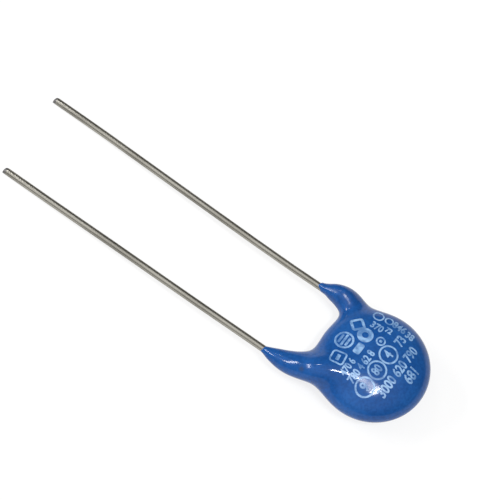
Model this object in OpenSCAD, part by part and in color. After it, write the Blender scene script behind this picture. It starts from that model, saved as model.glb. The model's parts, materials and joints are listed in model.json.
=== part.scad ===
// Ceramic disc capacitor with two straight wire leads, 7.5 mm apart.
// It lies on its back, as it rests on a table: the coated disc and the tip of a lead touch the
// surface z = 0, +X runs from the leads to the disc and +Z points up out of the front face.
// Inside, everything is placed about the middle of the ceramic disc, as if the disc lay level.

/* [Coating] */
// Diameter of the coated disc
body_d = 9.75; // [9:0.05:12]
// Thickness of the coated disc at its middle
body_t = 4.45; // [4.3:0.05:6]
// Fullness of the coated disc: 2 is an ellipse, more is a flatter face with a rounder shoulder
fullness = 2.4; // [2:0.1:3.2]
// How far the coating runs down the front lead from the edge of the disc
rundown_front = 3.05; // [2.4:0.05:4]
// How far the coating runs down the back lead from the edge of the disc
rundown_back = 2.7; // [2.4:0.05:4]
// Diameter of the front leg's coating at its thickest
leg_d_front = 1.9; // [1.5:0.05:2.4]
// Diameter of the back leg's coating at its thickest
leg_d_back = 1.65; // [1.5:0.05:2.4]
// Length over which the front leg swells from the wire to its thickest
swell_front = 3; // [2:0.1:3.8]
// Length over which the back leg swells from the wire to its thickest
swell_back = 3.4; // [2:0.1:3.8]
// Thickness of the coating at its edge on the wire
edge_film = 0.05; // [0.04:0.01:0.12]
// Width of the blend between the disc and its legs
fillet = 3; // [1:0.1:3.4]

/* [Leads] */
// Diameter of the wire
wire_d = 0.6; // [0.5:0.05:0.7]
// Distance between the leads where they leave the coating
lead_pitch = 7.5; // [7:0.1:8]
// Bare length of the front lead
bare_front = 26.85; // [5:0.05:40]
// Bare length of the back lead
bare_back = 27.9; // [5:0.05:40]
// Angle at which each bare lead leans outwards
splay = 0.4; // [0:0.1:2]
// Bevel that the cutter leaves on the tip of a lead
tip_bevel = 0.06; // [0.02:0.01:0.1]
// Distance from the middle of the disc at which the leads start to climb to its faces
climb_start = 5.5; // [5.3:0.1:6]
// Distance from the middle of the disc at which the leads reach its faces
climb_end = 3.25; // [2.8:0.05:3.6]
// Sideways distance of a lead from the middle of the disc where its climb starts
climb_start_y = 4; // [3.7:0.05:4.2]
// Sideways distance of a lead from the middle of the disc where its climb ends
climb_end_y = 3.5; // [3.3:0.05:3.8]
// Angle at which the leads cross the faces towards the middle
cross_angle = 30; // [20:1:35]
// How far the ends of the leads lie past the middle of the disc
lead_reach = 1; // [0.4:0.1:1.6]

/* [Ceramic disc] */
// Diameter of the ceramic disc
ceramic_d = 7.4; // [6.8:0.1:8]
// Thickness of the ceramic disc
ceramic_t = 2; // [1.4:0.1:2.2]
// Chamfer on the edges of the ceramic disc
ceramic_chamfer = 0.15; // [0.05:0.05:0.3]
// Sideways distance of the disc from the midline of the leads, towards the back lead
disc_shift = 0.52; // [0:0.01:0.6]

/* [Electrodes and solder] */
// Diameter of the fired metal electrodes
electrode_d = 6.4; // [6:0.1:6.8]
// Thickness of the fired metal electrodes
electrode_t = 0.05; // [0.03:0.01:0.08]
// Diameter of the solder mound on the end of each lead
solder_d = 2.8; // [2.4:0.1:3.2]
// Height of the solder mound
solder_h = 0.85; // [0.75:0.05:0.95]
// Thickness of the solder film under the wire
solder_film = 0.05; // [0.03:0.01:0.08]
// How far the top of the mound lies back from the end of the lead
solder_back = 0.6; // [0.4:0.1:0.8]

/* [Hidden] */

// The front lead lies at -Y and climbs to the upper face, the back lead lies at +Y and runs
// under the lower face: the part is the same after half a turn about X, but for its lengths.
FRONT = -1;
BACK = 1;

body_r = body_d / 2;
wire_r = wire_d / 2;
face_z = ceramic_t / 2 + electrode_t;      // outer surface of an electrode
wire_z = face_z + solder_film + wire_r;    // middle of the wire where it lies on a face

function edge_x(side) = -body_r - (side == FRONT ? rundown_front : rundown_back);
function bare(side) = side == FRONT ? bare_front : bare_back;
function leg_d(side) = side == FRONT ? leg_d_front : leg_d_back;
function leg_swell(side) = side == FRONT ? swell_front : swell_back;
function tip_x(side) = edge_x(side) - bare(side) * cos(splay);
function edge_y(side) = side * lead_pitch / 2 - disc_shift;
function tip_y(side) = edge_y(side) + side * bare(side) * sin(splay);
function cross_y(side, x) = side * (climb_end_y - (x + climb_end) * tan(cross_angle));

// ---- Surface of the coating ----
// A fluid skin: the disc and the two legs are distance fields that melt into each other.
corner = 1.1;          // half length of the rounded corners of a leg's middle line
jog = 0.3;             // distance from the coating's edge to the first bend of the lead
ridge_fade = 10;       // length over which a leg sinks below the face of the disc
ridge_sink = 3;        // how far its radius has shrunk by then
fine_steps = 14;       // halvings that find the surface

function ease(t) = let (c = min(max(t, 0), 1)) c * c * (3 - 2 * c);
function swell(t) = let (c = min(max(t, 0), 1)) c * (2 - c);
function melt(a, b, k) = min(a, b) - pow(max(k - abs(a - b), 0) / k, 3) * k / 6;

// A slope of 1 that starts at 0, with its corner rounded over w to either side
function ramp(t, w) = t <= -w ? 0 : t >= w ? t : (t + w) * (t + w) / (4 * w);

function leg_y(side, x) =
    let (jog_slope = (side * climb_start_y - edge_y(side)) / (-climb_start - edge_x(side) - jog),
         climb_slope = side * (climb_end_y - climb_start_y) / (climb_start - climb_end),
         cross_slope = -side * tan(cross_angle))
    edge_y(side) + jog_slope * ramp(x - edge_x(side) - jog, jog)
    + (climb_slope - jog_slope) * ramp(x + climb_start, corner)
    + (cross_slope - climb_slope) * ramp(x + climb_end, corner);

function leg_z(side, x) =
    -side * wire_z / (climb_start - climb_end)
    * (ramp(x + climb_start, corner) - ramp(x + climb_end, corner));

function leg_r(side, x) =
    let (start_r = wire_r + edge_film, mid_climb = (climb_start + climb_end) / 2)
    start_r + (leg_d(side) / 2 - start_r) * swell((x - edge_x(side)) / leg_swell(side))
    - ridge_sink * ease((x + mid_climb) / ridge_fade);

function leg_field(side, p) =
    norm([p.y - leg_y(side, p.x), p.z - leg_z(side, p.x)]) - leg_r(side, p.x);

function disc_field(p) =
    body_t / 2 * (sqrt(pow(norm([p.x, p.y]) / body_r, fullness) + pow(2 * p.z / body_t, 2)) - 1);

function field(p) =
    melt(melt(disc_field(p), leg_field(FRONT, p), fillet), leg_field(BACK, p), fillet);

// Distance from c, inside the coating, to its surface in the direction dir
function skin(c, dir, far, steps, near = 0) =
    let (mid = (near + far) / 2)
    steps == 0 ? mid
    : field(c + mid * dir) < 0 ? skin(c, dir, far, steps - 1, mid)
    : skin(c, dir, mid, steps - 1, near);

// ---- Lying on the table ----
// The part tips about Y until the longer lead touches the table with its tip.
reach = -min(tip_x(FRONT), tip_x(BACK));
table_steps = 12;

// How far the coated disc and the back leg reach below the middle of the disc, tipped by angle
function depth(angle) = max([for (i = [0 : table_steps])
    let (x = -climb_end * i / table_steps)
    max(low_z(x, 0), low_z(x, leg_y(BACK, x))) * cos(angle) - x * sin(angle)]);

// Depth of the coating's surface under the point (x, y)
function low_z(x, y) = skin([x, y, 0], [0, 0, -1], body_t, fine_steps);
function tip_over(angle, steps) = steps == 0 ? angle : tip_over(
    asin((depth(angle) - wire_r * cos(angle)) / reach), steps - 1);

rest_angle = tip_over(0, 3);
rest_height = depth(rest_angle);
middle_x = (reach - body_r) / 2 * cos(rest_angle);

module at_rest() {
    translate([middle_x, 0, rest_height]) rotate([0, -rest_angle, 0]) children();
}

// ---- Rings of the coating ----
// The coating is one loft along a horseshoe: up the front leg, round through the disc and down
// the back leg. Its rings stand upright. On the legs they are square to the leads, and in the
// disc they fan out about a pivot in the hollow between the legs.
leg_rings = 6;
fan_rings = 56;
ring_points = 40;
pivot_gap = 1.5;                        // from the disc's edge to the pivot
pivot_x = -body_r - pivot_gap;
ring_ratio = 2.2;                       // width of a ring across the disc, over its height
crown_inset = 0.25;                     // from the disc's far edge to the middle of its ring
clear_span = 8;                         // longer than any ray from a ring's middle

// A ring's place is [middle, outward direction, width over height, distance to the pivot]
function leg_ring(side, i) =
    let (x = edge_x(side) + (pivot_x - edge_x(side)) * i / leg_rings, y = leg_y(side, x))
    [[x, y, leg_z(side, x)], [0, side, 0], 1, abs(y)];

function fan_ring(t) =
    let (angle = 90 * (0.7 * t + 0.3 * pow(t, 3)),
         leg_out = abs(leg_y(angle < 0 ? FRONT : BACK, pivot_x)),
         out = leg_out + (body_r + pivot_gap - crown_inset - leg_out) * pow(cos(angle), 2),
         x = pivot_x + out * cos(angle))
    [[x, out * sin(angle), leg_z(BACK, x) / 2 * sin(angle)],
     [cos(angle), sin(angle), 0], 1 + (ring_ratio - 1) * pow(cos(angle), 2), out];

function ring(place) = [for (j = [0 : ring_points - 1])
    let (turn = 360 * j / ring_points,
         aim = place[1] * place[2] * cos(turn) + [0, 0, sin(turn)],
         dir = aim / norm(aim),
         inward = -dir * place[1],
         far = inward > 0.05 ? min(clear_span, place[3] / inward) : clear_span)
    place[0] + skin(place[0], dir, far, fine_steps) * dir];

module loft(rings) {
    last = len(rings) - 1;
    m = len(rings[0]);
    points = concat([for (r = rings) each r], [mean(rings[0]), mean(rings[last])]);
    start = len(points) - 2;
    faces = [
        for (i = [0 : last - 1], j = [0 : m - 1])
            let (a = i * m + j, b = i * m + (j + 1) % m)
            each [[a, b, b + m], [a, b + m, a + m]],
        for (j = [0 : m - 1]) [start, (j + 1) % m, j],
        for (j = [0 : m - 1]) [start + 1, last * m + j, last * m + (j + 1) % m]
    ];
    polyhedron(points, faces);
}

function mean(points) = [for (k = [0 : 2]) sum([for (p = points) p[k]]) / len(points)];
function sum(values, i = 0) = i == len(values) ? 0 : values[i] + sum(values, i + 1);

// ---- Pieces ----
module coating_skin() {
    loft(concat(
        [for (i = [0 : leg_rings]) ring(leg_ring(FRONT, i))],
        [for (i = [1 : fan_rings - 1]) ring(fan_ring(2 * i / fan_rings - 1))],
        [for (i = [leg_rings : -1 : 0]) ring(leg_ring(BACK, i))]
    ));
}

module ceramic_shape() {
    rotate_extrude($fn = 96)
        polygon([
            [0, -ceramic_t / 2],
            [ceramic_d / 2 - ceramic_chamfer, -ceramic_t / 2],
            [ceramic_d / 2, -ceramic_t / 2 + ceramic_chamfer],
            [ceramic_d / 2, ceramic_t / 2 - ceramic_chamfer],
            [ceramic_d / 2 - ceramic_chamfer, ceramic_t / 2],
            [0, ceramic_t / 2]
        ]);
}

module electrode_shape(side) {
    translate([0, 0, side == FRONT ? ceramic_t / 2 : -face_z])
        cylinder(h = electrode_t, d = electrode_d, $fn = 96);
}

// A cap of solder on the electrode, around the end of the lead
module solder_shape(side) {
    mound_r = solder_d / 2;
    ball_r = (mound_r * mound_r + solder_h * solder_h) / (2 * solder_h);
    x = lead_reach - solder_back;
    translate([x, cross_y(side, x), -side * face_z])
        rotate([side == FRONT ? 0 : 180, 0, 0])
            intersection() {
                translate([0, 0, solder_h - ball_r]) sphere(r = ball_r, $fn = 96);
                cylinder(h = ball_r, r = ball_r, $fn = 96);
            }
}

function unit(v) = v / norm(v);

// Turns the z axis into the direction dir
module aim_z(dir) {
    rotate([0, acos(dir.z), atan2(dir.y, dir.x)]) children();
}

// The bent part of a lead follows the middle line of its leg and then crosses the face.
wire_steps = 32;
wire_sides = 16;
bury = 0.05;           // how far the straight wire runs on past the coating's edge
bent_r = wire_r - 0.01;
nudge = 0.01;          // either way along a middle line, to find its direction

function mid_line(side, x) = [x, leg_y(side, x), leg_z(side, x)];

function wire_ring(side, x) =
    let (along = unit(mid_line(side, x + nudge) - mid_line(side, x - nudge)),
         across = unit(cross(along, [0, 0, 1])),
         up = cross(across, along))
    [for (j = [0 : wire_sides - 1]) let (turn = 360 * j / wire_sides)
        mid_line(side, x) + bent_r * (across * cos(turn) + up * sin(turn))];

module bent_wire(side) {
    start = edge_x(side);
    loft([for (i = [0 : wire_steps])
        wire_ring(side, start + (lead_reach - start) * i / wire_steps)]);
}

// A cylinder with a bevelled tip, which leans outwards by the splay
module straight_wire(side) {
    tip = [tip_x(side), tip_y(side), 0];
    root = [edge_x(side), edge_y(side), 0];
    translate(tip) aim_z(unit(root - tip)) {
        cylinder(h = tip_bevel, r1 = wire_r - tip_bevel, r2 = wire_r, $fn = 48);
        translate([0, 0, tip_bevel])
            cylinder(h = norm(root - tip) + bury - tip_bevel, r = wire_r, $fn = 48);
    }
}

module lead_shape(side) {
    straight_wire(side);
    bent_wire(side);
}

module coating() {
    color("#2c62a6")
        difference() {
            coating_skin();
            ceramic_shape();
            for (side = [FRONT, BACK]) {
                electrode_shape(side);
                solder_shape(side);
                lead_shape(side);
            }
        }
}

module ceramic_disc() {
    color("#d8cdb4") ceramic_shape();
}

module electrode(side) {
    color("#c9ccd0") electrode_shape(side);
}

module solder(side) {
    color("#9a9da1")
        difference() {
            solder_shape(side);
            lead_shape(side);
        }
}

module lead(side) {
    color("#a8a499") lead_shape(side);
}

at_rest() coating();
at_rest() ceramic_disc();
at_rest() electrode(FRONT);  // electrode_front
at_rest() electrode(BACK);  // electrode_back
at_rest() solder(FRONT);  // solder_front
at_rest() solder(BACK);  // solder_back
at_rest() lead(FRONT);  // lead_front
at_rest() lead(BACK);  // lead_back
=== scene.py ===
"""A blue ceramic disc capacitor on its back: dipped coating, ink marks, wire leads and studio."""

import json
import logging
import math
from contextlib import contextmanager
from dataclasses import dataclass, field
from enum import Enum
from typing import Callable, Iterator

import bmesh
import bpy
from mathutils import Matrix, Vector

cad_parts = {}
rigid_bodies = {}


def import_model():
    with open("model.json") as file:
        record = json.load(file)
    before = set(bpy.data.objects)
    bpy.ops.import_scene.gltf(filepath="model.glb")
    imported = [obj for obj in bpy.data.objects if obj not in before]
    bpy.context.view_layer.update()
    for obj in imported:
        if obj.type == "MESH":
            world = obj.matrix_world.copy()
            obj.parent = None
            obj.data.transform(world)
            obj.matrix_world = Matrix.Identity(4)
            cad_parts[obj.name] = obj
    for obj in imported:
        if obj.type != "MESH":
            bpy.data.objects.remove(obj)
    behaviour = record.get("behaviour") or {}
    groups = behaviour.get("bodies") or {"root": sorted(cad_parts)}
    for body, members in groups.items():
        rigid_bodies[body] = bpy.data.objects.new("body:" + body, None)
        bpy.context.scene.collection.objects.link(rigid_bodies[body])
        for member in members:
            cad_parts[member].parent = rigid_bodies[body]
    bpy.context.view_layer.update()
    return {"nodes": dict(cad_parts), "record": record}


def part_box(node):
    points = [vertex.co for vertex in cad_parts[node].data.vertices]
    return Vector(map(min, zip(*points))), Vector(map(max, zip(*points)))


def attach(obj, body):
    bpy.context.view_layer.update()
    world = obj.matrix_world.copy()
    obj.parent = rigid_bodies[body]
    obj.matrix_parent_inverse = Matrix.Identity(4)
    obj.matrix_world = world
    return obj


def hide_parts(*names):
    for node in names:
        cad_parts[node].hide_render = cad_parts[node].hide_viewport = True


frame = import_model()

MM = 0.001
BODY = "root"
log = logging.getLogger("disc_capacitor")

Colour = tuple[float, float, float]
Place = tuple[float, float, float]
Span = tuple[float, float]
Piece = bpy.types.Object
Socket = bpy.types.NodeSocket


class Slot(Enum):
    """Names for material slots of the pieces made here, which this script does not assign."""

    EPOXY = "epoxy"
    WIRE = "wire"


class Side(Enum):
    """The two leads: each climbs to its own face of the disc."""

    FRONT = "front"
    BACK = "back"

    @property
    def hand(self) -> int:
        """Give the sign of y on the side of the disc where the lead lies."""
        return -1 if self is Side.FRONT else 1


class Keep(Enum):
    """What a cut keeps of a piece: what lies inside the other shape, or outside it."""

    INSIDE = "INTERSECT"
    OUTSIDE = "DIFFERENCE"


class Reckoning(Enum):
    """The sums that are done on the values in a material."""

    TIMES = "MULTIPLY"
    LARGER_OF = "MAXIMUM"


# ---- Working with pieces ----


def take_up(piece: Piece) -> None:
    """Make one piece the only selected and active one.

    Args:
        piece: The object to work on.
    """
    bpy.ops.object.select_all(action="DESELECT")
    piece.select_set(True)
    bpy.context.view_layer.objects.active = piece


@contextmanager
def shaping(piece: Piece) -> Iterator[None]:
    """Open a piece in edit mode with nothing selected, and close it again.

    Args:
        piece: The object whose mesh is shaped.

    Yields:
        Nothing; the operators inside act on the piece.
    """
    take_up(piece)
    bpy.ops.object.mode_set(mode="EDIT")
    bpy.ops.mesh.select_all(action="DESELECT")
    yield
    bpy.ops.object.mode_set(mode="OBJECT")


def pick_verts(piece: Piece, test: Callable[[Vector], bool]) -> int:
    """Select just the vertices whose place passes a test, in edit mode.

    Args:
        piece: The object in edit mode.
        test: Says whether a vertex at this place is wanted.

    Returns:
        How many vertices are selected.
    """
    bpy.ops.mesh.select_mode(type="VERT")
    shape = bmesh.from_edit_mesh(piece.data)
    for vert in shape.verts:
        vert.select = test(vert.co)
    shape.select_flush(True)
    shape.select_flush(False)
    bmesh.update_edit_mesh(piece.data)
    return sum(vert.select for vert in shape.verts)


def pick_faces(piece: Piece, test: Callable[[Vector, Vector], bool]) -> None:
    """Select just the faces whose middle and normal pass a test, in edit mode.

    Args:
        piece: The object in edit mode.
        test: Says whether a face with this middle and normal is wanted.
    """
    bpy.ops.mesh.select_mode(type="FACE")
    shape = bmesh.from_edit_mesh(piece.data)
    for face in shape.faces:
        face.select = test(face.calc_center_median(), face.normal)
    bmesh.update_edit_mesh(piece.data)


def apply_all(piece: Piece) -> None:
    """Apply every modifier of a piece, in order.

    Args:
        piece: The object whose mesh takes on what its modifiers do.
    """
    take_up(piece)
    for modifier in list(piece.modifiers):
        bpy.ops.object.modifier_apply(modifier=modifier.name)


def cut(piece: Piece, tool: Piece, keep: Keep) -> None:
    """Cut a closed piece with another closed shape, and delete that shape.

    Args:
        piece: The object that stays.
        tool: The object that it is cut with.
        keep: What the cut keeps.
    """
    modifier = piece.modifiers.new("cut", "BOOLEAN")
    modifier.object = tool
    modifier.operation = keep.value
    modifier.solver = "MANIFOLD"
    apply_all(piece)
    bpy.data.objects.remove(tool)


def settle(piece: Piece) -> None:
    """Put the piece's place into its mesh, with its object at the origin."""
    take_up(piece)
    bpy.ops.object.transform_apply(location=True, rotation=True, scale=True)


def twin(piece: Piece, name: str) -> Piece:
    """Copy a piece with a mesh of its own.

    Args:
        piece: The object to copy.
        name: The copy's name.

    Returns:
        The copy, free of its parent and of any record of the frame.
    """
    take_up(piece)
    bpy.ops.object.duplicate()
    copy = bpy.context.object
    copy.name = name
    copy.parent = None
    for key in list(copy.keys()):
        del copy[key]
    copy.data.materials.clear()
    return copy


# ---- Where the parts of the capacitor lie ----


@dataclass(frozen=True)
class Seat:
    """Where the disc lies: its middle and its tilt, as it leans on the tip of a lead.

    Places on the disc are given in millimetres from its middle: x points away from the leads,
    y from the front lead to the back lead, and z out of the front face.
    """

    middle: Vector
    tilt: float

    @classmethod
    def of_part(cls) -> "Seat":
        """Read the seat from the ceramic disc's box and the axis of a lead.

        Returns:
            The seat of the part on the table.
        """
        low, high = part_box("ceramic_disc")
        axis = Vector(lead_record(Side.FRONT)["axis"])
        return cls(middle=(low + high) / 2, tilt=math.atan2(-axis.z, -axis.x))

    @property
    def matrix(self) -> Matrix:
        """The transform from the disc's own axes, in metres, to the table's."""
        return Matrix.Translation(self.middle) @ Matrix.Rotation(-self.tilt, 4, "Y")

    def place(self, x: float, y: float, z: float) -> Vector:
        """Give the place on the table of a point of the disc, in metres."""
        return self.matrix @ (Vector((x, y, z)) * MM)

    def step(self, x: float, y: float, z: float) -> Vector:
        """Give a move along the disc's own axes as a move over the table, in metres."""
        return self.place(x, y, z) - self.middle

    def on_disc(self, place: Vector) -> Vector:
        """Give a place in the disc's own axes, in millimetres."""
        return (self.matrix.inverted() @ place) / MM


def lead_record(side: Side) -> dict:
    """Give the mount that the record states for one bare lead."""
    name = f"lead_{side.value}"
    return next(mount for mount in frame["record"]["mounts"] if mount["name"] == name)


# ---- Finishes ----


@dataclass(frozen=True)
class SoftSpot:
    """A round spot that fades out between two distances from its middle, in metres."""

    place: Place
    inner: float
    outer: float


class NodeBench:
    """Lays out a node tree, with short calls for what the finishes and the sky share."""

    def __init__(self, tree: bpy.types.NodeTree) -> None:
        """Clear a node tree, to lay it out afresh."""
        self.tree = tree
        self.tree.nodes.clear()

    def add(self, kind: str, **settings: object) -> bpy.types.Node:
        """Add a node and set its options.

        Args:
            kind: The node's type.
            settings: Options of the node, by attribute name.

        Returns:
            The node.
        """
        node = self.tree.nodes.new(kind)
        for name, value in settings.items():
            setattr(node, name, value)
        return node

    def link(self, source: Socket, target: Socket) -> None:
        """Join an output to an input."""
        self.tree.links.new(source, target)

    def remap(self, value: Socket, span: Span, to: Span = (0.0, 1.0), soft: bool = True) -> Socket:
        """Map a value from one range to another, and hold it within that range.

        Args:
            value: The value to map.
            span: Start and end of the range that is read.
            to: Results at the start and the end.
            soft: Whether the change eases in and out.

        Returns:
            The mapped value.
        """
        easing = "SMOOTHSTEP" if soft else "LINEAR"
        node = self.add("ShaderNodeMapRange", interpolation_type=easing, clamp=True)
        for name, number in zip(("From Min", "From Max", "To Min", "To Max"), (*span, *to)):
            node.inputs[name].default_value = number
        self.link(value, node.inputs["Value"])
        return node.outputs["Result"]

    def reckon(self, kind: Reckoning, first: Socket, second: Socket | float) -> Socket:
        """Do a sum on a value.

        Args:
            kind: Which sum.
            first: The value.
            second: A number, or the output that gives it.

        Returns:
            The result.
        """
        node = self.add("ShaderNodeMath", operation=kind.value)
        self.link(first, node.inputs[0])
        if isinstance(second, Socket):
            self.link(second, node.inputs[1])
        else:
            node.inputs[1].default_value = second
        return node.outputs["Value"]

    def blend(self, factor: Socket, first: Colour | Socket, second: Colour | Socket) -> Socket:
        """Mix two colours.

        Args:
            factor: Share of the second colour.
            first: A colour, or the output that gives it.
            second: A colour, or the output that gives it.

        Returns:
            The mixed colour.
        """
        node = self.add("ShaderNodeMix", data_type="RGBA")
        self.link(factor, node.inputs["Factor"])
        for colour, socket in ((first, node.inputs["A"]), (second, node.inputs["B"])):
            if isinstance(colour, Socket):
                self.link(colour, socket)
            else:
                socket.default_value = (*colour, 1.0)
        return node.outputs["Result"]


class FinishBench(NodeBench):
    """Builds a material's nodes on the coordinates of the piece that wears it."""

    def __init__(self, name: str) -> None:
        """Start an empty material.

        Args:
            name: The material's name.
        """
        self.material = bpy.data.materials.new(name)
        self.material.use_nodes = True
        super().__init__(self.material.node_tree)
        self.output = self.add("ShaderNodeOutputMaterial")
        self.place = self.add("ShaderNodeTexCoord").outputs["Object"]

    def stretched(self, scale: Place, tilt: float) -> Socket:
        """Give the piece's own coordinates, turned about Y and then scaled per axis.

        Args:
            scale: Scale along each axis, per metre.
            tilt: Turn about Y, in radians.

        Returns:
            The vector output.
        """
        turned = self.add("ShaderNodeMapping", vector_type="POINT")
        turned.inputs["Rotation"].default_value = (0, tilt, 0)
        self.link(self.place, turned.inputs["Vector"])
        scaled = self.add("ShaderNodeMapping", vector_type="POINT")
        scaled.inputs["Scale"].default_value = scale
        self.link(turned.outputs["Vector"], scaled.inputs["Vector"])
        return scaled.outputs["Vector"]

    def noise(self, vector: Socket, scale: float, detail: float, rough: float = 0.5) -> Socket:
        """Add a noise texture.

        Args:
            vector: Coordinates to read.
            scale: Noise scale, in cells per unit of the coordinates.
            detail: Number of finer layers.
            rough: Strength of the finer layers.

        Returns:
            The noise value, about 0.5 on average.
        """
        node = self.add("ShaderNodeTexNoise")
        node.inputs["Scale"].default_value = scale
        node.inputs["Detail"].default_value = detail
        node.inputs["Roughness"].default_value = rough
        self.link(vector, node.inputs["Vector"])
        return node.outputs["Fac"]

    def near(self, spot: SoftSpot) -> Socket:
        """Give 1 in the middle of a spot, falling softly to 0 at its outer edge.

        Args:
            spot: The spot, in the piece's own coordinates.

        Returns:
            The value.
        """
        away = self.add("ShaderNodeVectorMath", operation="DISTANCE")
        self.link(self.place, away.inputs[0])
        away.inputs[1].default_value = spot.place
        return self.remap(away.outputs["Value"], (spot.inner, spot.outer), (1.0, 0.0))

    def shaded(self, colour: Socket, by: Socket) -> Socket:
        """Multiply a colour by a value.

        Args:
            colour: The colour.
            by: The value, where 1 leaves the colour as it is.

        Returns:
            The shaded colour.
        """
        node = self.add("ShaderNodeVectorMath", operation="SCALE")
        self.link(colour, node.inputs[0])
        self.link(by, node.inputs["Scale"])
        return node.outputs["Vector"]

    def bump(self, height: Socket, depth: float, under: Socket | None = None) -> Socket:
        """Turn a height into a bumped normal.

        Args:
            height: The height value, from 0 to 1.
            depth: Height of 1, in metres.
            under: A normal that this bump lies on.

        Returns:
            The normal.
        """
        node = self.add("ShaderNodeBump")
        node.inputs["Distance"].default_value = depth
        node.inputs["Strength"].default_value = 1.0
        self.link(height, node.inputs["Height"])
        if under is not None:
            self.link(under, node.inputs["Normal"])
        return node.outputs["Normal"]

    def principled(self, **inputs: float | tuple[float, ...]) -> bpy.types.Node:
        """Add the surface shader and join it to the output.

        Args:
            inputs: Socket values, with underscores for the spaces in a socket's name.

        Returns:
            The shader node.
        """
        node = self.add("ShaderNodeBsdfPrincipled")
        for name, value in inputs.items():
            node.inputs[name.replace("_", " ")].default_value = value
        self.link(node.outputs["BSDF"], self.output.inputs["Surface"])
        return node


@dataclass(frozen=True)
class EpoxyFinish:
    """Blue dipped epoxy: glossy, with soft clouds of colour and a faint orange peel.

    A scale is in cells per metre, a span is the range of a noise value that is read, and a depth
    is in metres.
    """

    deep: Colour = (0.008, 0.066, 0.250)
    light: Colour = (0.012, 0.082, 0.286)
    cloud_scale: float = 420.0
    cloud_span: Span = (0.35, 0.68)
    grain_scale: float = 4200.0
    grain_span: Span = (0.3, 0.7)
    grain: float = 0.10
    speck: Colour = (0.012, 0.03, 0.09)
    speck_scale: float = 900.0
    speck_span: Span = (0.76, 0.80)
    speck_cover: float = 0.7
    smudge: Colour = (0.030, 0.060, 0.150)
    smudge_spot: SoftSpot = SoftSpot((10.75 * MM, -4.39 * MM, 3.72 * MM), 0.0, 0.38 * MM)
    roughness: Span = (0.10, 0.20)
    haze_span: Span = (0.35, 0.70)
    dull_roughness: float = 0.25
    dull_spot: SoftSpot = SoftSpot((9.4 * MM, 3.5 * MM, 2.9 * MM), 1.2 * MM, 2.4 * MM)
    swell_scale: float = 330.0
    swell_depth: float = 0.02 * MM
    peel_scale: float = 1500.0
    peel_depth: float = 0.0012 * MM

    def make(self) -> bpy.types.Material:
        """Build the material.

        Returns:
            The coating's material.
        """
        bench = FinishBench("dipped_epoxy")
        shader = bench.principled(IOR=1.5, Specular_IOR_Level=0.26)
        bench.link(self.colour(bench), shader.inputs["Base Color"])
        bench.link(self.haze(bench), shader.inputs["Roughness"])
        bench.link(self.skin(bench), shader.inputs["Normal"])
        return bench.material

    def colour(self, bench: FinishBench) -> Socket:
        """Lay clouds, grain, a few specks and one smudge over the blue.

        Args:
            bench: The material's bench.

        Returns:
            The colour.
        """
        clouds = bench.noise(bench.place, self.cloud_scale, detail=4, rough=0.6)
        blue = bench.blend(bench.remap(clouds, self.cloud_span), self.deep, self.light)
        grain = bench.noise(bench.place, self.grain_scale, detail=1)
        shade = bench.remap(grain, self.grain_span, (1 - self.grain, 1 + self.grain))
        specks = bench.noise(bench.place, self.speck_scale, detail=1)
        cover = bench.remap(specks, self.speck_span, (0.0, self.speck_cover))
        specked = bench.blend(cover, bench.shaded(blue, shade), self.speck)
        return bench.blend(bench.near(self.smudge_spot), specked, self.smudge)

    def haze(self, bench: FinishBench) -> Socket:
        """Vary the gloss softly, with one duller spot at the root of the back leg.

        Args:
            bench: The material's bench.

        Returns:
            The roughness.
        """
        haze = bench.noise(bench.place, self.cloud_scale, detail=1)
        dulled = bench.reckon(Reckoning.TIMES, bench.near(self.dull_spot), self.dull_roughness)
        return bench.reckon(
            Reckoning.LARGER_OF, bench.remap(haze, self.haze_span, self.roughness), dulled
        )

    def skin(self, bench: FinishBench) -> Socket:
        """Lay a fine peel on the slow swells of the dipped coat.

        Args:
            bench: The material's bench.

        Returns:
            The normal.
        """
        swells = bench.noise(bench.place, self.swell_scale, detail=1)
        peel = bench.noise(bench.place, self.peel_scale, detail=2)
        return bench.bump(peel, self.peel_depth, under=bench.bump(swells, self.swell_depth))


@dataclass(frozen=True)
class InkFinish:
    """Pale blue stamped ink, thin enough for the coating to show through in patches."""

    full: Colour = (0.25, 0.42, 0.66)
    thin: Colour = (0.07, 0.18, 0.40)
    patch_scale: float = 1100.0
    patch_span: Span = (0.36, 0.60)
    grain_scale: float = 9000.0
    grain_depth: float = 0.003 * MM

    def make(self) -> bpy.types.Material:
        """Build the material.

        Returns:
            The ink's material.
        """
        bench = FinishBench("stamped_ink")
        shader = bench.principled(Roughness=0.42, IOR=1.5)
        patches = bench.noise(bench.place, self.patch_scale, detail=3, rough=0.7)
        colour = bench.blend(bench.remap(patches, self.patch_span), self.thin, self.full)
        bench.link(colour, shader.inputs["Base Color"])
        grain = bench.noise(bench.place, self.grain_scale, detail=2)
        bench.link(bench.bump(grain, self.grain_depth), shader.inputs["Normal"])
        return bench.material


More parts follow.
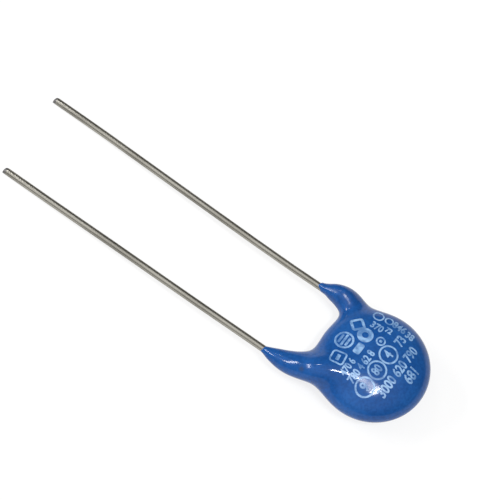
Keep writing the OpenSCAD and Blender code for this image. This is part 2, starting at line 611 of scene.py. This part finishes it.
@dataclass(frozen=True)
class WireFinish:
    """Drawn and tinned wire: fine lines along it and dull patches.

    The lines and patches are long and narrow, and the tilt lays them along the wire.
    """

    tilt: float
    bright: Colour = (0.41, 0.394, 0.348)
    dull: Colour = (0.30, 0.287, 0.252)
    edge_tint: Colour = (0.25, 0.24, 0.22)
    patch_scale: Place = (200.0, 1600.0, 1600.0)
    patch_span: Span = (0.35, 0.62)
    roughness: Span = (0.36, 0.30)
    roughness_span: Span = (0.3, 0.7)
    line_scale: Place = (120.0, 9000.0, 9000.0)
    line_depth: float = 0.0013 * MM

    def make(self) -> bpy.types.Material:
        """Build the material.

        Returns:
            The wires' material.
        """
        bench = FinishBench("tinned_wire")
        shader = bench.principled(Metallic=1.0, Specular_Tint=(*self.edge_tint, 1.0))
        patches = bench.noise(bench.stretched(self.patch_scale, self.tilt), 1.0, detail=1)
        colour = bench.blend(bench.remap(patches, self.patch_span), self.dull, self.bright)
        gloss = bench.remap(patches, self.roughness_span, self.roughness)
        lines = bench.noise(bench.stretched(self.line_scale, self.tilt), 1.0, detail=2, rough=0.6)
        bench.link(colour, shader.inputs["Base Color"])
        bench.link(gloss, shader.inputs["Roughness"])
        bench.link(bench.bump(lines, self.line_depth), shader.inputs["Normal"])
        return bench.material


@dataclass(frozen=True)
class PlainFinish:
    """A finish of two mottled tones, for the cut ends of the wires and the pieces inside."""

    name: str
    first: Colour
    second: Colour
    roughness: float
    metallic: float
    grain_scale: float
    grain_depth: float

    def make(self) -> bpy.types.Material:
        """Build the material.

        Returns:
            The material.
        """
        bench = FinishBench(self.name)
        shader = bench.principled(Roughness=self.roughness, Metallic=self.metallic)
        grain = bench.noise(bench.place, self.grain_scale, detail=4, rough=0.6)
        bench.link(bench.blend(grain, self.first, self.second), shader.inputs["Base Color"])
        bench.link(bench.bump(grain, self.grain_depth), shader.inputs["Normal"])
        return bench.material


CUT_WIRE = PlainFinish(
    name="cut_wire", first=(0.15, 0.146, 0.145), second=(0.24, 0.23, 0.228),
    roughness=0.6, metallic=1.0, grain_scale=6000.0, grain_depth=0.006 * MM,
)
FIRED_CERAMIC = PlainFinish(
    name="fired_ceramic", first=(0.66, 0.58, 0.43), second=(0.74, 0.66, 0.52),
    roughness=0.65, metallic=0.0, grain_scale=1500.0, grain_depth=0.004 * MM,
)
FIRED_SILVER = PlainFinish(
    name="fired_silver", first=(0.60, 0.60, 0.58), second=(0.72, 0.72, 0.70),
    roughness=0.45, metallic=1.0, grain_scale=2500.0, grain_depth=0.003 * MM,
)
COOLED_SOLDER = PlainFinish(
    name="cooled_solder", first=(0.42, 0.43, 0.44), second=(0.58, 0.58, 0.58),
    roughness=0.35, metallic=1.0, grain_scale=1200.0, grain_depth=0.010 * MM,
)


# ---- Pieces ----


@dataclass(frozen=True)
class Nudge:
    """A soft push on the coating, in millimetres on the disc.

    The skin within the grip of the spot makes the whole move, and the skin within the reach of
    that follows it less and less.
    """

    spot: Place
    move: Place
    reach: float
    grip: float = 0.45


@dataclass(frozen=True)
class FilmStep:
    """One pull at the film on a wire.

    The pull is a share of the film's reach along that wire, the size is the new ring's against
    the last one's, and the lean turns it in degrees, so that the film's edge slants.
    """

    pull: float
    size: float
    lean: float


@dataclass
class Coating:
    """The epoxy skin: the disc and its two legs in one flowing shape, down to a film on the wires.

    Lengths are in millimetres.
    """

    seat: Seat
    finish: EpoxyFinish = EpoxyFinish()
    nudges: tuple[Nudge, ...] = (
        Nudge((-6.1, 3.5, 0.72), (0.0, 0.0, 0.13), 0.9),
        Nudge((-5.3, 3.45, 0.72), (0.0, 0.0, 0.26), 1.1),
        Nudge((-7.35, 2.85, -0.35), (0.0, 0.12, 0.0), 0.8),
        Nudge((-5.9, 2.8, 0.0), (-0.02, -0.10, 0.0), 0.9),
    )
    weld: float = 0.0002  # points nearer to each other than this become one
    end_slack: float = 0.02  # how far from a leg's end a point still belongs to it
    end_facing: float = -0.9  # a leg's flat end faces the wire: its normal's x is below this
    levels: int = 2
    film_reach: dict[Side, float] = field(default_factory=lambda: {Side.FRONT: 1.0, Side.BACK: 0.4})
    film_steps: tuple[FilmStep, ...] = (
        FilmStep(0.10, 0.94, 9.0),
        FilmStep(0.12, 0.93, 12.0),
        FilmStep(-0.15, 0.90, 0.0),
    )

    def build(self) -> Piece:
        """Make the coating and dress it.

        Returns:
            The piece that replaces the plain coating.
        """
        piece = twin(frame["nodes"]["coating"], "coating_skin")
        ends = {side: self.end_x(piece, side) for side in Side}
        with shaping(piece):
            self.open_ends(piece, ends)
            self.drop_inner_walls(piece)
            bpy.ops.mesh.select_all(action="SELECT")
            bpy.ops.mesh.tris_convert_to_quads(face_threshold=math.pi, shape_threshold=math.pi)
            for nudge in self.nudges:
                self.push(piece, nudge)
        for side, end in ends.items():
            self.draw_film(piece, side, end)
        smooth = piece.modifiers.new("flow", "SUBSURF")
        smooth.levels = smooth.render_levels = self.levels
        apply_all(piece)
        bpy.ops.object.shade_smooth()
        piece.data.materials.append(self.finish.make())
        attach(piece, BODY)
        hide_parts("coating")
        return piece

    def end_x(self, piece: Piece, side: Side) -> float:
        """Find where the coating ends on one wire, along the disc's x axis in millimetres."""
        places = (self.seat.on_disc(vert.co) for vert in piece.data.vertices)
        return min(place.x for place in places if place.y * side.hand > 0)

    def at_end(self, place: Vector, end: float) -> bool:
        """Say whether a place lies in the flat end of the leg that ends there."""
        return abs(self.seat.on_disc(place).x - end) < self.end_slack

    def open_ends(self, piece: Piece, ends: dict[Side, float]) -> None:
        """Merge the loose triangles and take out the flat rings at the ends of the legs.

        Args:
            piece: The coating, in edit mode.
            ends: Where each leg ends, along the disc's x axis in millimetres.
        """
        bpy.ops.mesh.select_all(action="SELECT")
        bpy.ops.mesh.remove_doubles(threshold=self.weld * MM)
        pick_faces(
            piece,
            lambda middle, normal: normal.x < self.end_facing
            and any(self.at_end(middle, end) for end in ends.values()),
        )
        bpy.ops.mesh.delete(type="FACE")

    def drop_inner_walls(self, piece: Piece) -> None:
        """Delete the walls of the hollow that the inner pieces fill, and keep the outer skin.

        Args:
            piece: The coating, in edit mode, with the ends of its legs open.
        """
        high = max(vert.co.x for vert in bmesh.from_edit_mesh(piece.data).verts)
        pick_verts(piece, lambda place: place.x >= high)
        bpy.ops.mesh.select_linked()
        bpy.ops.mesh.select_all(action="INVERT")
        bpy.ops.mesh.delete(type="VERT")

    def push(self, piece: Piece, nudge: Nudge) -> None:
        """Push the skin softly at one spot, as a swelling or a hollow of the dipped coat.

        Args:
            piece: The coating, in edit mode.
            nudge: Where and how far.
        """
        spot = Vector(nudge.spot)
        held = pick_verts(piece, lambda place: (self.seat.on_disc(place) - spot).length < nudge.grip)
        log.info("coating: pushed at %d points", held)
        bpy.ops.transform.translate(
            value=self.seat.step(*nudge.move),
            use_proportional_edit=True,
            proportional_edit_falloff="SMOOTH",
            proportional_size=nudge.reach * MM,
        )

    def draw_film(self, piece: Piece, side: Side, end: float) -> None:
        """Draw the open end of a leg out into a slanting film on the wire, and close it inside.

        Args:
            piece: The coating.
            side: Which leg.
            end: Where the leg ends, along the disc's x axis in millimetres.
        """
        with shaping(piece):
            pick_verts(piece, lambda place: self.at_end(place, end) and place.y * side.hand > 0)
            for film_step in self.film_steps:
                shape = bmesh.from_edit_mesh(piece.data)
                ring = [vert.co.copy() for vert in shape.verts if vert.select]
                shift = self.seat.step(-film_step.pull * self.film_reach[side], 0, 0)
                middle = sum(ring, Vector()) / len(ring) + shift
                bpy.ops.mesh.extrude_region_move()
                bpy.ops.transform.translate(value=shift)
                bpy.ops.transform.resize(value=(film_step.size,) * 3, center_override=middle)
                bpy.ops.transform.rotate(
                    value=math.radians(film_step.lean), orient_axis="Z", center_override=middle
                )
            bpy.ops.mesh.edge_face_add()


@dataclass(frozen=True)
class Digits:
    """A row of plain digits, with its height, and its turn in degrees."""

    text: str
    across: float
    along: float
    height: float
    turn: float = 0.0


@dataclass(frozen=True)
class Ring:
    """A plain ring, with its outer radius."""

    across: float
    along: float
    radius: float
    stroke: float = 0.15


@dataclass(frozen=True)
class Block:
    """A bar or a rounded square, solid where its stroke is 0, with its turn in degrees."""

    across: float
    along: float
    length: float
    width: float
    turn: float = 0.0
    stroke: float = 0.0


@dataclass
class InkMarks:
    """Plain marks stamped on the front face: rows of digits, rings and blocks.

    Places are in millimetres from the middle of the disc, across the leads and towards them, and
    every other length is in millimetres too. The stamps reach through the face, from the low
    depth to the high one. What is kept of them is the ink: a film that stands on the coating and
    is sunk a little into it.
    """

    seat: Seat
    finish: InkFinish = InkFinish()
    depth_low: float = 0.4
    depth_high: float = 3.0
    film: float = 0.010
    sunk: float = 0.004
    weld: float = 0.0005  # points of an outline nearer to each other than this become one
    crease: float = 30.0  # degrees between faces that still look smooth
    row_turn: float = 90.0  # degrees that lay a row of digits across the leads
    boldness: float = 0.032  # how far the digits' strokes are swollen
    narrowing: float = 0.82  # the digits' width against their natural one
    cap_share: float = 0.7  # a digit's height against the size of its type
    curve_steps: int = 4
    ring_sides: int = 48
    corner_share: float = 0.22  # a corner's radius against the width of its block
    corner_steps: int = 3
    rows: tuple[Digits, ...] = (
        Digits("681", 0.62, -3.16, 0.86),
        Digits("3000 620 790", 0.12, -2.1, 0.80),
        Digits("73", 2.45, -0.78, 0.80),
        Digits("780 4 62 8", -1.46, 0.56, 0.64),
        Digits("470 6", -2.2, 1.42, 0.60),
        Digits("4", 0.76, -0.65, 0.84),
        Digits("80", -0.95, -0.65, 0.72),
        Digits("9", -2.68, -0.65, 0.84),
        Digits("370", 2.32, 1.5, 0.64, -90),
        Digits("72", 2.62, 0.52, 0.50, -90),
        Digits("846", 3.52, -0.02, 0.70, -90),
        Digits("38", 3.42, -1.12, 0.66, -90),
    )
    rings: tuple[Ring, ...] = (
        Ring(0.76, -0.65, 0.84),
        Ring(-0.95, -0.65, 0.84),
        Ring(-2.68, -0.65, 0.84),
        Ring(-0.25, 3.02, 0.80, 0.17),
        Ring(1.08, 1.86, 0.68, 0.40),
        Ring(1.36, 0.52, 0.42, 0.13),
        Ring(3.42, 1.95, 0.50, 0.13),
        Ring(3.52, 0.98, 0.40, 0.13),
    )
    blocks: tuple[Block, ...] = (
        Block(-1.95, 2.55, 1.30, 1.30, 8, 0.15),
        Block(-1.95, 2.55, 0.62, 0.30, 8),
        Block(1.62, 2.92, 1.15, 1.15, 45, 0.22),
        Block(-0.25, 3.02, 1.16, 0.20),
        Block(-0.25, 3.35, 0.84, 0.20),
        Block(-0.25, 2.69, 0.84, 0.20),
        Block(-0.28, 1.62, 1.05, 0.62),
        Block(1.36, 0.52, 0.24, 0.24),
    )

    def build(self, coating: Piece) -> Piece:
        """Stamp the marks on the coating as a thin film of ink.

        Args:
            coating: The finished coating, which gives the film its shape.

        Returns:
            The film of ink.
        """
        stamps = [self.digits(row) for row in self.rows]
        stamps += [self.ring(ring) for ring in self.rings]
        stamps += [self.block(block) for block in self.blocks]
        ink = self.joined(stamps)
        cut(ink, self.swollen(coating, self.film), Keep.INSIDE)
        cut(ink, self.swollen(coating, -self.sunk), Keep.OUTSIDE)
        take_up(ink)
        bpy.ops.object.shade_smooth_by_angle(angle=math.radians(self.crease))
        ink.data.materials.clear()
        ink.data.materials.append(self.finish.make())
        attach(ink, BODY)
        return ink

    def raised(self, stamp: Piece, across: float, along: float, turn: float) -> Piece:
        """Pull a flat outline up into a closed prism that stands through the face.

        Args:
            stamp: A flat mesh at the origin.
            across: Place of its middle across the leads, in millimetres.
            along: Place of its middle towards the leads, in millimetres.
            turn: Turn in the face, in degrees.

        Returns:
            The prism, in its place.
        """
        with shaping(stamp):
            bpy.ops.mesh.select_all(action="SELECT")
            bpy.ops.mesh.remove_doubles(threshold=self.weld * MM)
            bpy.ops.mesh.extrude_region_move()
            bpy.ops.transform.translate(value=(0, 0, (self.depth_high - self.depth_low) * MM))
            bpy.ops.mesh.select_all(action="SELECT")
            bpy.ops.mesh.normals_make_consistent(inside=False)
        spot = Matrix.Translation(Vector((-along, across, self.depth_low)) * MM)
        turned = Matrix.Rotation(math.radians(self.row_turn + turn), 4, "Z")
        stamp.matrix_world = self.seat.matrix @ spot @ turned
        settle(stamp)
        return stamp

    def digits(self, row: Digits) -> Piece:
        """Make the prisms of a row of digits.

        Args:
            row: The digits, their place and their size.

        Returns:
            The prisms, as one piece.
        """
        bpy.ops.object.select_all(action="DESELECT")
        bpy.ops.object.text_add(location=(0, 0, 0))
        stamp = bpy.context.object
        stamp.data.body = row.text
        stamp.data.size = row.height * MM / self.cap_share
        stamp.data.align_x = "CENTER"
        stamp.data.align_y = "CENTER"
        stamp.data.offset = self.boldness * MM
        stamp.data.resolution_u = self.curve_steps
        bpy.ops.object.convert(target="MESH")
        stamp = bpy.context.object
        stamp.scale.x = self.narrowing
        settle(stamp)
        return self.raised(stamp, row.across, row.along, row.turn)

    def ring(self, ring: Ring) -> Piece:
        """Make the prism of a ring.

        Args:
            ring: Its place and its sizes.

        Returns:
            The prism.
        """
        bpy.ops.object.select_all(action="DESELECT")
        bpy.ops.mesh.primitive_circle_add(
            vertices=self.ring_sides, radius=ring.radius * MM, fill_type="NGON"
        )
        stamp = bpy.context.object
        with shaping(stamp):
            self.hollow(ring.stroke)
        return self.raised(stamp, ring.across, ring.along, 0)

    def block(self, block: Block) -> Piece:
        """Make the prism of a block with rounded corners.

        Args:
            block: Its place and its sizes.

        Returns:
            The prism.
        """
        bpy.ops.object.select_all(action="DESELECT")
        bpy.ops.mesh.primitive_plane_add(size=1.0)
        stamp = bpy.context.object
        stamp.scale = (block.length * MM, block.width * MM, 1)
        settle(stamp)
        corner = block.width * self.corner_share * MM
        with shaping(stamp):
            bpy.ops.mesh.select_all(action="SELECT")
            bpy.ops.mesh.bevel(offset=corner, segments=self.corner_steps, affect="VERTICES")
            if block.stroke:
                self.hollow(block.stroke)
        return self.raised(stamp, block.across, block.along, block.turn)

    def hollow(self, stroke: float) -> None:
        """Leave only the edge of the flat shape that is open in edit mode.

        Args:
            stroke: Width of the edge, in millimetres.
        """
        bpy.ops.mesh.select_all(action="SELECT")
        bpy.ops.mesh.inset(thickness=stroke * MM)
        bpy.ops.mesh.delete(type="FACE")

    def joined(self, stamps: list[Piece]) -> Piece:
        """Join all the stamps.

        Args:
            stamps: The prisms, in their places.

        Returns:
            The one piece that they become.
        """
        bpy.ops.object.select_all(action="DESELECT")
        for stamp in stamps:
            stamp.select_set(True)
        bpy.context.view_layer.objects.active = stamps[0]
        bpy.ops.object.join()
        ink = bpy.context.object
        ink.name = "ink_marks"
        return ink

    def swollen(self, coating: Piece, by: float) -> Piece:
        """Copy the coating's shape, grown all over by a thin film.

        Args:
            coating: The finished coating.
            by: How far its surface moves outwards, in millimetres.

        Returns:
            The copy.
        """
        copy = twin(coating, "film_gauge")
        with shaping(copy):
            bpy.ops.mesh.select_all(action="SELECT")
            bpy.ops.transform.shrink_fatten(value=by * MM)
        return copy


@dataclass(frozen=True)
class Bend:
    """A point of a bowed wire: its share of the way to the tip, and its offset in millimetres."""

    along: float
    offset: float


@dataclass(frozen=True)
class PinchRing:
    """A ring of the cut tip: how far before the wire's end it lies, in millimetres, and its size."""

    before_end: float
    size: float


@dataclass
class Lead:
    """One wire lead: bare and slightly bowed, with a rough tip that the cutter pinched on one side.

    Lengths are in millimetres. The pinch way points from the pinched side to the straight one.
    """

    side: Side
    finish: bpy.types.Material
    cut_finish: bpy.types.Material
    sides: int = 32
    crease: float = 50.0  # degrees between faces that still look smooth
    cut_reach: float = 0.10  # how far back from the tip the cut shows
    buried: float = 1.2  # how far the root reaches into the coating
    pinch_way: Place = (0.0, -0.92, -0.39)
    pinch: tuple[PinchRing, ...] = (
        PinchRing(0.14, 1.0), PinchRing(0.02, 0.96), PinchRing(-0.07, 0.86), PinchRing(-0.12, 0.68),
    )
    bow_way: Place = (0.0, 1.0, 0.0)
    bow: dict[Side, tuple[Bend, ...]] = field(
        default_factory=lambda: {
            Side.FRONT: (
                Bend(0.10, 0.0), Bend(0.30, -0.025), Bend(0.60, -0.005), Bend(0.85, -0.015),
                Bend(1.0, 0.005),
            ),
            Side.BACK: (
                Bend(0.06, -0.035), Bend(0.13, -0.075), Bend(0.27, -0.085), Bend(0.45, -0.04),
                Bend(0.62, 0.005), Bend(0.80, 0.06), Bend(0.90, 0.06), Bend(1.0, 0.04),
            ),
        }
    )

    def build(self) -> Piece:
        """Make the lead and dress it.

        Returns:
            The piece that replaces the plain lead.
        """
        mount = lead_record(self.side)
        radius = mount["dims"]["r_mm"] * MM
        outward = Vector(mount["axis"]).normalized()
        middle = Vector(mount["pos_m"])
        half = outward * mount["dims"]["length_mm"] * MM / 2
        root = middle - half - outward * self.buried * MM
        bpy.ops.object.select_all(action="DESELECT")
        bpy.ops.mesh.primitive_circle_add(
            vertices=self.sides, radius=radius, fill_type="NGON", location=root,
            rotation=outward.to_track_quat("Z", "Y").to_euler(),
        )
        piece = bpy.context.object
        piece.name = f"lead_wire_{self.side.value}"
        settle(piece)
        self.draw_wire(piece, root, middle + half, radius)
        take_up(piece)
        bpy.ops.object.shade_smooth_by_angle(angle=math.radians(self.crease))
        self.dress(piece, outward, middle + half)
        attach(piece, BODY)
        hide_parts(f"lead_{self.side.value}")
        return piece

    def draw_wire(self, piece: Piece, root: Vector, tip: Vector, radius: float) -> None:
        """Draw the round face at the root out to the tip, and pinch one side of the tip.

        Args:
            piece: The round face at the root.
            root: The middle of that face.
            tip: The middle of the wire's far end.
            radius: The wire's radius, in metres.
        """
        outward = (tip - root).normalized()
        aside = Vector(self.pinch_way)
        aside = (aside - outward * aside.dot(outward)).normalized()
        bowed = [
            (root.lerp(tip, bend.along) + Vector(self.bow_way) * bend.offset * MM, 1.0)
            for bend in self.bow[self.side]
        ]
        end = bowed.pop()[0]
        pinched = [
            (end - outward * ring.before_end * MM + aside * radius * (1 - ring.size), ring.size)
            for ring in self.pinch
        ]
        place, size = root.copy(), 1.0
        with shaping(piece):
            bpy.ops.mesh.select_all(action="SELECT")
            for goal, share in bowed + pinched:
                bpy.ops.mesh.extrude_region_move()
                bpy.ops.transform.translate(value=goal - place)
                bpy.ops.transform.resize(value=(share / size,) * 3, center_override=goal)
                place, size = goal, share
            bpy.ops.mesh.select_all(action="SELECT")
            bpy.ops.mesh.normals_make_consistent(inside=False)

    def dress(self, piece: Piece, outward: Vector, tip: Vector) -> None:
        """Give the wire its finish, and the cut end a rough one.

        Args:
            piece: The wire.
            outward: The way that the wire runs, away from the coating.
            tip: The middle of the wire's far end.
        """
        piece.data.materials.append(self.finish)
        piece.data.materials.append(self.cut_finish)
        with shaping(piece):
            pick_faces(
                piece, lambda middle, normal: (middle - tip).dot(outward) > -self.cut_reach * MM
            )
            piece.active_material_index = 1
            bpy.ops.object.material_slot_assign()


@dataclass
class InnerPieces:
    """The pieces inside the coating, which keep their plain shapes and get their own finishes.

    A finish is for every piece whose name starts with its key.
    """

    finishes: dict[str, PlainFinish] = field(
        default_factory=lambda: {
            "ceramic_disc": FIRED_CERAMIC,
            "electrode": FIRED_SILVER,
            "solder": COOLED_SOLDER,
        }
    )

    def build(self) -> list[Piece]:
        """Dress each inner piece.

        Returns:
            The dressed pieces.
        """
        dressed = []
        for kind, finish in self.finishes.items():
            material = finish.make()
            for name, piece in frame["nodes"].items():
                if name.startswith(kind):
                    piece.data.materials.clear()
                    piece.data.materials.append(material)
                    dressed.append(piece)
        return dressed


# ---- Studio ----


@dataclass(frozen=True)
class Lamp:
    """A flat lamp: the way to it from the part, its sides in metres, and its turn in degrees."""

    name: str
    direction: Place
    size: Span
    radiance: float
    turn: float


@dataclass
class Studio:
    """A pale floor, soft surroundings that brighten overhead, three small lamps, and the camera.

    The floor, the lamps' sides and distance and the camera's clip are in metres. Other lengths
    are in millimetres, and angles in degrees. Each stop of the sky is a nearness to the sky's
    middle, as the cosine of the angle to it, and a brightness.
    """

    floor_half: float = 12.0
    floor_colour: Colour = (0.95, 0.95, 0.95)
    floor_share: float = 0.78  # share of plain white in what is seen of the floor
    sky_middle: Place = (0.05, -0.36, 0.93)
    sky: tuple[Span, ...] = ((0.0, 0.08), (0.4, 0.12), (0.64, 0.36), (0.84, 0.90), (1.0, 1.0))
    rim_span: Span = (0.02, 0.10)  # heights between which the pale rim fades out
    rim_colour: Colour = (0.35, 0.35, 0.35)
    lamps: tuple[Lamp, ...] = (
        Lamp("strip_overhead", (0.225, -0.155, 0.96), (0.12, 0.040), 105.0, 20.0),
        Lamp("strip_beside", (-0.765, -0.22, 0.60), (0.36, 0.050), 34.0, 12.0),
        Lamp("strip_behind", (-0.57, 0.17, 0.80), (0.10, 0.030), 32.0, -60.0),
    )
    lamp_distance: float = 0.62
    lamp_aim: Place = (13.0, 0.0, 2.5)
    camera_azimuth: float = -76.255
    camera_elevation: float = 66.624
    camera_roll: float = 23.448
    camera_distance: float = 178.119
    camera_aim: Place = (1.468, 1.082, 4.539)
    lens: float = 155.06
    sensor_width: float = 36.0
    clip: Span = (0.01, 20.0)

    def build(self) -> None:
        """Make the floor, the light and the camera."""
        self.lay_floor()
        self.hang_sky()
        for lamp in self.lamps:
            self.hang_lamp(lamp)
        self.set_camera()
        bpy.context.scene.view_settings.view_transform = "Standard"

    def lay_floor(self) -> None:
        """Lay the pale floor."""
        bpy.ops.object.select_all(action="DESELECT")
        bpy.ops.mesh.primitive_plane_add(size=2 * self.floor_half)
        floor = bpy.context.object
        floor.name = "floor"
        floor.data.materials.append(self.floor_finish())

    def floor_finish(self) -> bpy.types.Material:
        """Make a matt floor that shows as white and still keeps the shadow.

        Returns:
            The floor's material.
        """
        bench = FinishBench("pale_floor")
        matt = bench.add("ShaderNodeBsdfDiffuse")
        matt.inputs["Color"].default_value = (*self.floor_colour, 1.0)
        glow = bench.add("ShaderNodeEmission")
        rays = bench.add("ShaderNodeLightPath").outputs
        seen = bench.reckon(Reckoning.LARGER_OF, rays["Is Camera Ray"], rays["Is Glossy Ray"])
        seen = bench.reckon(Reckoning.LARGER_OF, seen, rays["Is Transmission Ray"])
        mixed = bench.add("ShaderNodeMixShader")
        bench.link(bench.reckon(Reckoning.TIMES, seen, self.floor_share), mixed.inputs["Fac"])
        bench.link(matt.outputs["BSDF"], mixed.inputs[1])
        bench.link(glow.outputs["Emission"], mixed.inputs[2])
        bench.link(mixed.outputs["Shader"], bench.output.inputs["Surface"])
        return bench.material

    def hang_sky(self) -> None:
        """Surround the scene with a soft glow overhead, dim sides and a pale rim at the floor."""
        world = bpy.data.worlds.new("surroundings")
        world.use_nodes = True
        bpy.context.scene.world = world
        bench = NodeBench(world.node_tree)
        way = bench.add("ShaderNodeTexCoord").outputs["Generated"]
        nearness = bench.add("ShaderNodeVectorMath", operation="DOT_PRODUCT")
        nearness.inputs[1].default_value = Vector(self.sky_middle).normalized()
        bench.link(way, nearness.inputs[0])
        glow = bench.add("ShaderNodeValToRGB")
        stops = glow.color_ramp.elements
        for near, _ in self.sky[len(stops):]:
            stops.new(near)
        for stop, (near, level) in zip(stops, self.sky):
            stop.position = near
            stop.color = (level, level, level, 1.0)
        bench.link(nearness.outputs["Value"], glow.inputs["Fac"])
        split = bench.add("ShaderNodeSeparateXYZ")
        bench.link(way, split.inputs["Vector"])
        rim = bench.remap(split.outputs["Z"], self.rim_span, (1.0, 0.0), soft=False)
        shell = bench.add("ShaderNodeBackground")
        bench.link(bench.blend(rim, glow.outputs["Color"], self.rim_colour), shell.inputs["Color"])
        output = bench.add("ShaderNodeOutputWorld")
        bench.link(shell.outputs["Background"], output.inputs["Surface"])

    def hang_lamp(self, lamp: Lamp) -> None:
        """Hang one lamp, facing the part.

        Args:
            lamp: What to hang, and where.
        """
        aim = Vector(self.lamp_aim) * MM
        way = Vector(lamp.direction).normalized()
        bpy.ops.object.select_all(action="DESELECT")
        bpy.ops.object.light_add(type="AREA", location=aim + way * self.lamp_distance)
        light = bpy.context.object
        light.name = lamp.name
        light.data.shape = "RECTANGLE"
        light.data.size, light.data.size_y = lamp.size
        light.data.energy = lamp.radiance * math.pi * lamp.size[0] * lamp.size[1]
        facing = way.to_track_quat("Z", "Y").to_matrix().to_4x4()
        turn = Matrix.Rotation(math.radians(lamp.turn), 4, "Z")
        light.matrix_world = Matrix.Translation(light.location) @ facing @ turn

    def set_camera(self) -> None:
        """Set the camera from its angles about the point that it looks at."""
        azimuth, elevation = math.radians(self.camera_azimuth), math.radians(self.camera_elevation)
        level_share = math.cos(elevation)
        back = Vector(
            (level_share * math.cos(azimuth), level_share * math.sin(azimuth), math.sin(elevation))
        )
        bpy.ops.object.select_all(action="DESELECT")
        bpy.ops.object.camera_add()
        camera = bpy.context.object
        level = (-back).to_track_quat("-Z", "Y").to_matrix().to_4x4()
        roll = Matrix.Rotation(math.radians(self.camera_roll), 4, "Z")
        aim = Vector(self.camera_aim) * MM
        camera.matrix_world = Matrix.Translation(aim + back * self.camera_distance * MM) @ level @ roll
        camera.data.sensor_width = self.sensor_width
        camera.data.lens = self.lens
        camera.data.clip_start, camera.data.clip_end = self.clip
        bpy.context.scene.camera = camera


def main() -> None:
    """Build the pieces in order, report each one, and set up the studio."""
    logging.basicConfig(level=logging.INFO, format="%(name)s: %(message)s")
    seat = Seat.of_part()
    coating = Coating(seat).build()
    log.info("%s: %d faces", coating.name, len(coating.data.polygons))
    ink = InkMarks(seat).build(coating)
    log.info("%s: %d faces", ink.name, len(ink.data.polygons))
    wire_finish = WireFinish(tilt=seat.tilt).make()
    cut_finish = CUT_WIRE.make()
    for side in Side:
        lead = Lead(side, wire_finish, cut_finish).build()
        log.info("%s: %d faces", lead.name, len(lead.data.polygons))
    for piece in InnerPieces().build():
        log.info("%s: dressed", piece.name)
    Studio().build()


if __name__ == "__main__":
    main()
